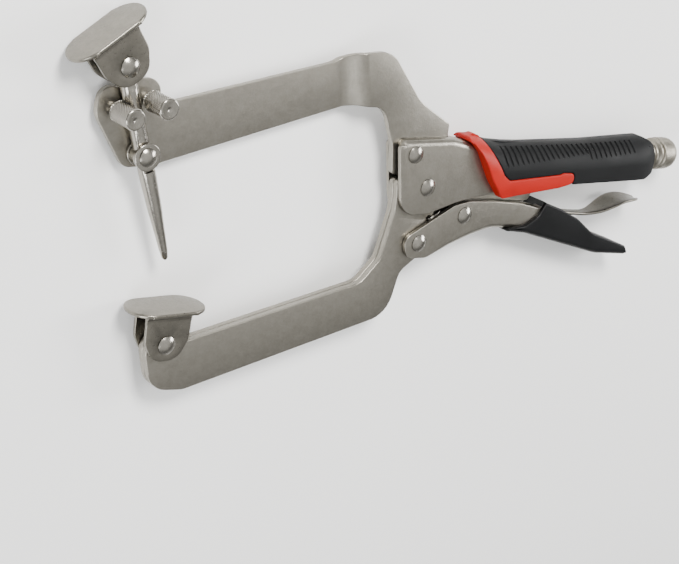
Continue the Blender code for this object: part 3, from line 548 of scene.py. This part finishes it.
def make_rod():
    """Round rod with flats at its pivot and at its pad, and a pointed pocket tip."""
    place = at(*ROD_PIVOT, -0.5) @ Matrix.Rotation(ROD_LEAN, 4, "Z") @ Matrix.Rotation(-math.pi / 2, 4, "X")
    profile = [(0.0, -48.0), (0.7, -47.9), (1.3, -47.0), (1.8, -43.0), (2.5, -31.0), (3.0, -24.0)]
    profile += [(3.0 + 0.5 * ramp(h, -24.0, -10.0), h) for h in steps_between(-22.0, -7.4, 1.4)]
    profile += [(3.5, h) for h in (-6.8, -6.5, 6.5, 6.8, 12.0, 20.0, 28.6, 29.2, 42.0, 42.6)]
    profile += [(3.2, 43.0), (2.6, 43.2), (0.0, 43.2)]
    rod = revolved("rod_round_bar", profile, BRIGHT, Matrix.Identity(4), 64)
    for vertex in rod.data.vertices:
        height = vertex.co.z / MM
        limit = 9.0
        if -6.6 < height < 6.6:
            limit = 2.5
        elif height > 29.0:
            limit = 3.1
        vertex.co.y = min(max(vertex.co.y, -limit * MM), limit * MM)
    rod.data.transform(place)
    cut(rod, revolved("rod_notch", [(0.0, -1.2), (4.8, -1.2), (4.8, 8.0), (0.0, 8.0)], BRIGHT,
                      at(*STOP_PINS["left"])))
    eye = pressed("rod_eye", [(5.0 * math.cos(a), 5.0 * math.sin(a)) for a in
                              [2 * math.pi * k / 48 for k in range(48)]], -2.5, 2.5, 0.4, BRIGHT,
                  place=at(*ROD_PIVOT, -0.5))
    carried([rod, eye], "swing_rod", "swing_rod")
    for name, radius, low, high in (("rod_front_washer", 5.8, 2.3, 3.7), ("rod_back_washer", 5.5, -4.5, -3.3)):
        turns = [2 * math.pi * k / 64 for k in range(64)]
        edge = [(radius * math.cos(turn), radius * math.sin(turn)) for turn in turns]
        washer = pressed(name + "_ring", edge, low, high, 0.35, BRIGHT, [((0, 0), 2.2)], at(*ROD_PIVOT))
        carried([washer], "handle", name)


def make_rivet(node, place, low, high, body, head=4.1, shank=2.6, rise=1.35):
    """Rivet with two domed heads, each with a shallow crease round its edge."""
    top, bottom = high + 0.3, low - 0.3
    shares = (0.0, 0.12, 0.24, 0.36, 0.48, 0.6, 0.7, 0.8, 0.88, 0.95, 1.0)
    dome = [(head * t, rise * (1 - t ** 2)) for t in shares]
    upper = [(r, top + h) for r, h in dome] + [(head - 0.12, top - 0.14), (head - 0.5, top - 0.2)]
    lower = [(r, bottom - (h - top)) for r, h in upper]
    profile = upper + [(shank, top - 0.2), (shank, bottom + 0.2)] + list(reversed(lower))
    carried([revolved(node + "_head", profile, BRIGHT, at(*place))], body, node)


# Pads -----------------------------------------------------------------------------------------

def make_pad(name, pivot, angle, middle, body, look):
    """Oval face with a rolled lip, folded down at both sides into round ears."""
    frame_of_pad = at(*pivot, middle) @ Matrix.Rotation(angle, 4, "Z")
    face = [(-18.0, -10.5, 10.1), (18.0, -10.5, 10.1), (18.0, 10.5, 10.1), (-18.0, 10.5, 10.1)]
    level = frame_of_pad @ Matrix.Rotation(-math.pi / 2, 4, "X")
    pieces = [pressed(name + "_face", face, 14.4, 16.2, 0.62, look, place=level)]
    ear = [(-11.0, 14.8, 1), (-10.7, 2.0, 9), (-6.1, -7.2, 8), (6.1, -7.2, 8), (10.7, 2.0, 9), (11.0, 14.8, 1)]
    for side, label in ((-1, "back"), (1, "front")):
        low, high = sorted((side * 3.6, side * 5.2))
        pieces.append(pressed(f"{name}_{label}_ear", ear, low, high, 0.4, look, [((0, 0), 2.2)], frame_of_pad))
        fold = [(3.7, 10.2), (5.15, 10.2), (5.3, 12.0, 1.0), (6.8, 13.6, 2.0), (10.4, 14.5, 0.5),
                (10.4, 15.9, 0.5), (3.7, 15.6)]
        fold = [(x * side, *rest) for x, *rest in fold]
        turned = Matrix(((0, 0, 1, 0), (0, 1, 0, 0), (1, 0, 0, 0), (0, 0, 0, 1)))
        pieces.append(pressed(f"{name}_{label}_fold", fold, -11.0, 11.0, 0.3, look, place=frame_of_pad @ turned))
    carried(pieces, body, name)


# Movable jaw ----------------------------------------------------------------------------------

MOVABLE_JAW = [(-17.0, 3.4, 3), (-9.0, 4.6, 4), (-6.0, 8.4, 6), (5.6, 8.4, 6), (8.4, 0.0, 6), (8.6, -22.0, 6),
               (8.4, -32.9, 7), (1.4, -35.4, 4), (-6.2, -41.0, 8), (-9.8, -61.6, 14), (-117.4, -85.95, 10),
               (-133.6, -84.3, 14), (-138.6, -65.4, 8), (-133.6, -56.6, 5), (-124.8, -56.4, 4),
               (-119.4, -63.4, 3), (-28.6, -44.6, 9), (-19.2, -34.0, 7), (-15.3, -12.0, 20), (-15.6, -4.0, 6)]


def make_movable_jaw():
    for name, node, low, high in (("jaw_front_plate", "movable_jaw_front_plate", 0.08, 3.15),
                                  ("jaw_back_plate", "movable_jaw_back_plate", -3.15, -0.08)):
        plate = pressed(name, MOVABLE_JAW, low, high, 0.62, SATIN, [(SPRING_HOLE, 1.6)], sharp=45.0)
        carried([plate], "movable_jaw", node)


# Lever, cover and release ---------------------------------------------------------------------

LEVER = [(-8.6, -24.2, 5), (19.0, -9.6, 8), (27.8, -8.1, 12), (43.4, -8.9, 20), (62.4, -11.1, 20),
         (83.4, -16.3, 12), (111.4, -30.8, 15), (139.0, -39.2, 1), (139.0, -41.0, 1), (117.4, -38.2, 30),
         (61.0, -23.6, 30), (44.0, -22.6, 20), (32.0, -25.6, 15), (19.6, -29.8, 10), (5.6, -34.4, 8),
         (-6.0, -33.9, 6)]
LEVER_HOLLOW = [(-30, 0), (160, 0), (160, -40.2), (139.5, -40.2), (139.5, -39.4), (117.4, -36.4, 30),
                (61.0, -21.8, 30), (44.0, -20.8, 20), (32.4, -23.8, 15), (20.2, -28.0, 8), (11.8, -31.0),
                (11.8, -50), (-30, -50)]
COVER = [(76.6, -10.8, 1), (87.2, -14.3, 12), (100.8, -20.2, 12), (113.2, -28.4, 15), (139.6, -37.0, 3),
         (143.2, -42.2, 3), (118.6, -39.8, 30), (66.4, -25.8, 20), (54.0, -24.2, 0.6), (54.6, -22.6, 0.6),
         (65.6, -21.6, 6), (72.6, -17.6, 6)]
COVER_HOLLOW = [(40, 10), (109, 10), (111.4, -30.7, 15), (139.1, -39.1, 1), (139.1, -41.1, 1),
                (117.4, -38.3, 30), (61.0, -23.7, 30), (44.0, -22.7, 20), (40, -23.0)]


def make_lever():
    def fold(place, out):
        along = ramp(place.x, 0.009, 0.020) * ramp(-place.x, -0.130, -0.1)
        return 0.35 + 2.6 * smooth(-out.y, 0.25, 0.85) * along

    shell = pressed_shape(fillet(LEVER), -5.4 * MM, 5.4 * MM, fold, steps=7)
    bmesh.ops.triangulate(shell, faces=shell.faces)
    lever = finish_mesh("lever_shell", shell, SATIN)
    cut(lever, pressed("lever_space", LEVER_HOLLOW, -3.5, 3.5, 0.01, SHADED_INSIDE))
    carried([lever], "lever", "lower_lever_channel")

    def dipped(place, out):
        return 0.85 + 1.5 * smooth(-out.y, 0.25, 0.85)

    skin = pressed_shape(fillet(COVER), -7.4 * MM, 7.4 * MM, dipped, steps=7)
    bmesh.ops.triangulate(skin, faces=skin.faces)
    cover = finish_mesh("vinyl_cover", skin, VINYL)
    cut(cover, pressed("cover_space", COVER_HOLLOW, -5.5, 5.5, 0.01, VINYL))
    carried([cover], "lever", "lever_cover")


LINK = [(21.0, -10.2, 5), (21.0, -20.4, 6), (30.9, -19.8, 6), (41.4, -11.4, 10), (57.4, -10.6, 10),
        (68.4, -10.7, 2), (70.4, -6.6, 3), (76.4, 6.4, 5), (73.0, 14.2, 5), (65.0, 10.0, 6)]


def make_link():
    carried([pressed("link_plate", LINK, -1.7, 1.7, 0.35, SATIN)], "toggle_link", "toggle_link")


def curve_through(points, count):
    """Smooth route through points, as a uniform Catmull-Rom curve."""
    points = [Vector(p) for p in points]
    padded = [points[0] * 2 - points[1]] + points + [points[-1] * 2 - points[-2]]
    route = []
    for i in range(1, len(padded) - 2):
        a, b, c, d = padded[i - 1:i + 3]
        for k in range(count):
            t = k / count
            route.append(0.5 * (2 * b + (c - a) * t + (2 * a - 5 * b + 4 * c - d) * t * t
                                + (3 * b - a - 3 * c + d) * t ** 3))
    return route + [points[-1]]


def make_release():
    """Strip that leaves the lever as a narrow neck and ends in a dished thumb paddle."""
    path = curve_through([(72.4, -14.4, 3.0), (78.6, -16.6, 3.0), (90.0, -17.7, 3.0), (102.0, -19.0, 3.0),
                          (110.0, -19.6, 3.1), (115.5, -19.2, 4.0), (121.0, -17.9, 5.6), (127.0, -15.6, 6.9),
                          (132.5, -13.7, 7.4), (138.0, -13.0, 7.2), (142.4, -13.1, 5.8), (145.4, -13.6, 3.8),
                          (146.8, -14.0, 1.8)], 6)
    shape = bmesh.new()
    rings = []
    sides = 20
    for i, point in enumerate(path):
        run = (path[min(i + 1, len(path) - 1)] - path[max(i - 1, 0)]).to_2d().normalized()
        up = Vector((-run.y, run.x))
        half = point.z
        dish = 0.9 * smooth(point.x, 116.0, 130.0)
        ring = []
        for k in range(sides * 2):
            angle = math.pi * k / sides
            across = half * math.copysign(abs(math.cos(angle)) ** 0.45, math.cos(angle))
            lift = 0.85 * math.copysign(abs(math.sin(angle)) ** 0.5, math.sin(angle))
            lift += dish * ((across / half) ** 2 - 0.6)
            place = point.to_2d() + up * lift
            ring.append(shape.verts.new((place.x * MM, place.y * MM, across * MM)))
        rings.append(ring)
    for lower, upper in zip(rings, rings[1:]):
        for k in range(sides * 2):
            shape.faces.new((lower[k - 1], lower[k], upper[k], upper[k - 1]))
    shape.faces.new(rings[0])
    shape.faces.new(rings[-1])
    strip = finish_mesh("release_strip", shape, SHADED_NICKEL, 50.0)
    sleeve = [(1.9, -3.0), (3.2, -3.0), (3.4, -2.8), (3.4, 2.8), (3.2, 3.0), (1.9, 3.0), (1.9, -3.0)]
    barrel = revolved("release_barrel", sleeve, SHADED_NICKEL, at(78.4, -17.8))
    carried([strip, barrel], "release_lever", "release_lever")


def make_spring():
    """Hook over the jaw's hole, a close coil inside the handle and a loop round the anchor pin."""
    start = Vector((*SPRING_HOLE, 0.0))
    end = Vector((*SPRING_ANCHOR, 0.0))
    along = (end - start).normalized()
    across = Vector((-along.y, along.x, 0.0))
    out = Vector((0.0, 0.0, 1.0))
    route = [start - out * 3.0, start + out * 2.6, start + out * 3.6 + along * 0.35, start + out * 3.9 + along * 1.4,
             start + out * 3.9 + along * 4.6, start + along * 6.4 + out * 3.5, start + along * 8.2 + out * 1.4,
             start + along * 9.8 + out * 0.2, start + along * 20.5]
    turns, per_turn = 19, 16
    for k in range(turns * per_turn + 1):
        angle = 2 * math.pi * k / per_turn
        reach = 23.5 + 21.0 * k / (turns * per_turn)
        route.append(start + along * reach + (out * math.cos(angle) + across * math.sin(angle)) * 2.4)
    for k in range(13):
        angle = math.radians(-60 + 25 * k)
        route.append(end + out * (1.0 - 0.2 * k) + (along * -math.cos(angle) + across * math.sin(angle)) * 2.4)
    shape = bmesh.new()
    rings = []
    lean = Vector((0.13, 0.91, 0.39)).normalized()
    for i, point in enumerate(route):
        run = (route[min(i + 1, len(route) - 1)] - route[max(i - 1, 0)]).normalized()
        side = (lean - run * lean.dot(run)).normalized()
        lean = side
        lift = run.cross(side)
        rings.append([shape.verts.new((point + (side * math.cos(2 * math.pi * k / 8)
                                                + lift * math.sin(2 * math.pi * k / 8)) * 0.5) * MM)
                      for k in range(8)])
    for lower, upper in zip(rings, rings[1:]):
        for k in range(8):
            shape.faces.new((lower[k - 1], lower[k], upper[k], upper[k - 1]))
    shape.faces.new(rings[0])
    shape.faces.new(rings[-1])
    spring = finish_mesh("spring_wire", shape, SPRING, 60.0)
    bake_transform(spring)
    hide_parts("tension_spring")


make_handle()
make_grips()
make_screw()
make_fixed_jaw()
make_stop_pins()
make_rod()
make_pad("upper_swivel_pad", UPPER_PAD_PIVOT, math.radians(37.0), -0.5, "upper_swivel_pad", SHADED_NICKEL)
make_pad("lower_swivel_pad", LOWER_PAD_PIVOT, 0.0, 0.0, "lower_swivel_pad", SHADED_NICKEL)
make_movable_jaw()
make_lever()
make_link()
make_release()
make_spring()
make_rivet("fixed_jaw_rivet", FIXED_JAW_RIVET, -5.4, 5.4, "handle")
make_rivet("jaw_pivot_rivet", JAW_PIVOT, -5.4, 5.4, "handle")
make_rivet("lever_jaw_rivet", LEVER_JAW_PIVOT, -5.4, 5.4, "movable_jaw")
make_rivet("lever_link_rivet", LEVER_LINK_PIVOT, -5.4, 5.4, "lever")
make_rivet("rod_pivot_rivet", ROD_PIVOT, ARM_FACE - 3.0, 3.7, "handle", 3.9, 1.9)
make_rivet("upper_pad_rivet", UPPER_PAD_PIVOT, -5.7, 4.7, "swing_rod", 4.1, 1.9)
make_rivet("lower_pad_rivet", LOWER_PAD_PIVOT, -5.2, 5.2, "movable_jaw", 4.1, 1.9)
for node in ("spring_anchor_pin", "release_lever_pin"):
    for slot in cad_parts[node].material_slots:
        slot.material = SPRING


# Stage ----------------------------------------------------------------------------------------

def make_stage():
    nodes = Nodes("pale_table")
    shade = nodes.spread(nodes.noise(3.0, 2.0, 0.5), 0.0, 1.0)
    look = nodes.plug(Base_Color=nodes.blend(shade, (0.955, 0.955, 0.95), (0.97, 0.97, 0.965)), Roughness=0.75)
    shape = bmesh.new()
    bmesh.ops.create_grid(shape, x_segments=8, y_segments=8, size=4.0)
    floor = finish_mesh("table", shape, look, place=Matrix.Translation((0.0, 0.0, -0.0001)))


def make_light(name, place, size, energy, colour=(1.0, 1.0, 1.0)):
    light = bpy.data.lights.new(name, "AREA")
    light.shape = "DISK"
    light.size = size
    light.energy = energy
    light.color = colour
    lamp = bpy.data.objects.new(name, light)
    lamp.location = place
    lamp.rotation_euler = (-Vector(place)).to_track_quat("-Z", "Y").to_euler()
    SCENE.collection.objects.link(lamp)


def make_camera():
    right = Vector((0.7932, 0.1483, 0.5906))
    up = Vector((0.0788, 0.9368, -0.3410))
    back = Vector((-0.6038, 0.3170, 0.7314))
    camera = bpy.data.cameras.new("camera")
    camera.lens = 84.83
    camera.sensor_width = 36.0
    holder = bpy.data.objects.new("camera", camera)
    pose = Matrix((right, up, back)).transposed().to_4x4()
    pose.translation = PLACE + Vector((-473.3, 183.95, 527.0)) * MM
    holder.matrix_world = pose
    SCENE.collection.objects.link(holder)
    SCENE.camera = holder


make_stage()
make_light("key", (-0.25, 0.75, 0.85), 0.40, 22.0, (1.0, 0.985, 0.96))
make_light("fill", (-0.9, -0.5, 0.6), 0.6, 9.0, (0.97, 0.985, 1.0))
make_light("rim", (0.8, 0.2, 0.5), 0.4, 7.0)


def make_world():
    """Studio surround: bright overhead, a dark band at mid height and a pale horizon."""
    world = bpy.data.worlds.new("studio")
    SCENE.world = world
    world.use_nodes = True
    tree = world.node_tree
    place = tree.nodes.new("ShaderNodeTexCoord")
    parts = tree.nodes.new("ShaderNodeSeparateXYZ")
    shades = tree.nodes.new("ShaderNodeValToRGB")
    tree.links.new(place.outputs["Generated"], parts.inputs["Vector"])
    tree.links.new(parts.outputs["Z"], shades.inputs["Fac"])
    tree.links.new(shades.outputs["Color"], tree.nodes["Background"].inputs["Color"])
    stops = ((0.0, 0.80), (0.18, 0.52), (0.38, 0.22), (0.60, 0.36), (0.85, 0.92), (1.0, 1.05))
    ramp_of = shades.color_ramp
    while len(ramp_of.elements) < len(stops):
        ramp_of.elements.new(0.5)
    for element, (position, level) in zip(ramp_of.elements, stops):
        element.position = position
        element.color = (level, level, level * 0.985, 1.0)
    tree.nodes["Background"].inputs["Strength"].default_value = 1.0


make_world()
make_camera()
